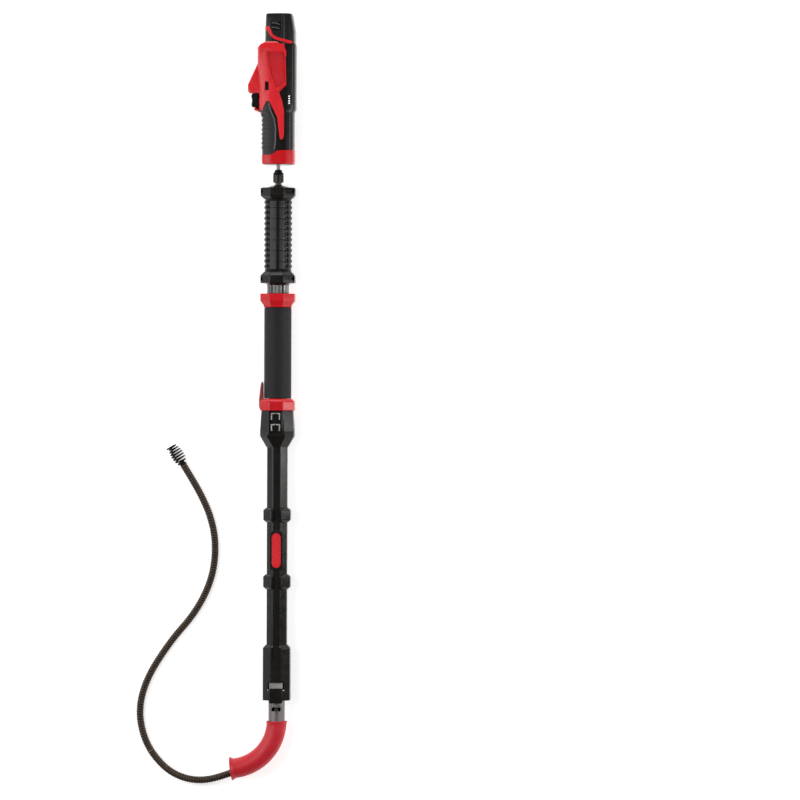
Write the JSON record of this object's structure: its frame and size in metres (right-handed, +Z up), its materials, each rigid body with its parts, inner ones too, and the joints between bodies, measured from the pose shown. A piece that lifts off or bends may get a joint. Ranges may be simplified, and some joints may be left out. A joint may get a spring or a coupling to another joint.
{
  "type": "drain snake machine",
  "caption": "Cordless drain snake: a battery driver turns a coiled cable through a telescopic guide tube, a steel elbow and a flexible end with a bulb coil.",
  "frame": {"origin": "middle of the flat underside of the lower collar, where the tool lies on its flats", "axes": "+Y along the tool towards the battery, +Z up, -X towards the trigger and the free cable"},
  "size_m": [0.2816, 1.35, 0.06],
  "materials": {
    "black_plastic": "moulded black nylon with a fine satin grain",
    "collar_red": "semi-gloss bright red moulding",
    "plated_steel": "bright zinc plate",
    "grey_plastic": "grey moulding",
    "steel_grey": "satin steel",
    "elbow_rubber": "matte red rubber",
    "charcoal_foam": "closed-cell foam with a fine speckle",
    "black_rubber": "soft matte overmould",
    "cable_coil": "dark oiled coil of wire, matte",
    "bearing_bronze": "sintered bronze",
    "satin_black": "smooth black moulding with soft reflections",
    "tube_alloy": "drawn aluminium, satin",
    "driver_red": "satin red glass-filled nylon",
    "board_green": "varnished circuit board",
    "lamp_white": "white light pipe",
    "cell_wrap": "sleeved round cells",
    "lever_red": "dark red moulding"
  },
  "bodies": {
    "root": {"guide_tube": "black_plastic", "ring_upper": "black_plastic", "ring_lower": "black_plastic", "badge_plate": "collar_red", "tube_socket": "black_plastic", "latch_pin": "plated_steel", "latch_strip": "plated_steel", "detent_block": "grey_plastic", "steel_tube": "steel_grey", "elbow_boot": "elbow_rubber", "housing_front": "black_plastic", "housing_back": "black_plastic", "housing_screws": "plated_steel", "window_clips": "plated_steel", "grip_core": "black_plastic", "foam_grip": "charcoal_foam", "upper_collar": "collar_red", "lower_collar": "collar_red", "wiper_seal": "black_rubber", "lever_pin": "plated_steel", "guided_cable": "cable_coil", "free_cable": "cable_coil"},
    "upper_handle": {"upper_cap": "black_plastic", "upper_bearing": "bearing_bronze", "ribbed_grip": "satin_black", "lower_flange": "satin_black", "inner_tube": "tube_alloy"},
    "driver": {"driver_shell_front": "driver_red", "driver_shell_back": "driver_red", "nose_cap": "driver_red", "grip_overmould": "black_rubber", "spine_cover": "black_plastic", "trigger_switch": "black_plastic", "trigger_spring": "plated_steel", "motor_can": "steel_grey", "gearbox_case": "tube_alloy", "spindle_bearing": "bearing_bronze", "terminal_block": "black_plastic", "circuit_board": "board_green", "gauge_lamps": "lamp_white", "driver_screws": "plated_steel"},
    "drive_line": {"drive_shank": "plated_steel", "drive_cable": "cable_coil", "coupler_body": "steel_grey", "coupler_spring": "plated_steel", "spindle": "steel_grey", "planet_gears": "steel_grey"},
    "coupler_sleeve": {"coupler_sleeve": "black_plastic"},
    "motor_rotor": {"motor_rotor": "steel_grey"},
    "trigger": {"trigger": "satin_black"},
    "direction_selector": {"direction_selector": "black_plastic"},
    "battery": {"battery_case": "black_plastic", "battery_cells": "cell_wrap"},
    "battery_latch_front": {"battery_latch_front": "black_plastic"},
    "battery_latch_back": {"battery_latch_back": "black_plastic"},
    "release_lever": {"release_lever": "lever_red"},
    "brake_shoe": {"brake_shoe": "black_rubber"},
    "tube_latch": {"tube_latch": "black_plastic"},
    "bulb_head": {"bulb_head": "steel_grey"}
  },
  "joints": [
    {"name": "handle_slide", "type": "slide", "parent": "root", "child": "upper_handle", "axis": [0, 1, 0], "range_m": [0, 0.4]},
    {"name": "driver_swivel", "type": "hinge", "parent": "upper_handle", "child": "driver", "pos_m": [0, 0.4, 0.03], "axis": [0, 1, 0], "continuous": true},
    {"name": "spindle_spin", "type": "hinge", "parent": "driver", "child": "drive_line", "pos_m": [0, 0.43, 0.03], "axis": [0, 1, 0], "continuous": true},
    {"name": "rotor_spin", "type": "hinge", "parent": "driver", "child": "motor_rotor", "pos_m": [0, 0.49, 0.03], "axis": [0, 1, 0], "continuous": true},
    {"name": "sleeve_pull", "type": "slide", "parent": "drive_line", "child": "coupler_sleeve", "axis": [0, 1, 0], "range_m": [0, 0.0025], "stiffness_N_per_m": 800, "deforming": ["coupler_spring"]},
    {"name": "trigger_press", "type": "slide", "parent": "driver", "child": "trigger", "axis": [1, 0, 0], "range_m": [0, 0.0055], "stiffness_N_per_m": 900, "deforming": ["trigger_spring"]},
    {"name": "selector_shift", "type": "slide", "parent": "driver", "child": "direction_selector", "axis": [0, 0, 1], "range_m": [0, 0.004]},
    {"name": "battery_slide", "type": "slide", "parent": "driver", "child": "battery", "axis": [0, 1, 0], "range_m": [0, 0.085]},
    {"name": "latch_front_press", "type": "slide", "parent": "battery", "child": "battery_latch_front", "axis": [0, 0, -1], "range_m": [0, 0.002], "stiffness_N_per_m": 900},
    {"name": "latch_back_press", "type": "slide", "parent": "battery", "child": "battery_latch_back", "axis": [0, 0, 1], "range_m": [0, 0.002], "stiffness_N_per_m": 900},
    {"name": "lever_swing", "type": "hinge", "parent": "root", "child": "release_lever", "pos_m": [-0.0255, -0.0006, 0.03], "axis": [0, 0, 1], "range_deg": [0, 60]},
    {"name": "shoe_release", "type": "slide", "parent": "root", "child": "brake_shoe", "axis": [-1, 0, 0], "range_m": [0, 0.0005]},
    {"name": "tube_latch_press", "type": "hinge", "parent": "root", "child": "tube_latch", "pos_m": [0, -0.4975, 0.05], "axis": [1, 0, 0], "range_deg": [0, 4], "stiffness_Nm_per_rad": 0.6},
    {"name": "bulb_spin", "type": "hinge", "parent": "root", "child": "bulb_head", "pos_m": [-0.1677, -0.104, 0.0102], "axis": [-0.516, 0.8488, 0.1154], "continuous": true}
  ],
  "couplings": [
    {"joint": "rotor_spin", "follows": "spindle_spin", "ratio": 4.75},
    {"joint": "bulb_spin", "follows": "spindle_spin", "ratio": -1},
    {"joint": "shoe_release", "follows": "lever_swing", "m_per_rad": 0.00045}
  ]
}
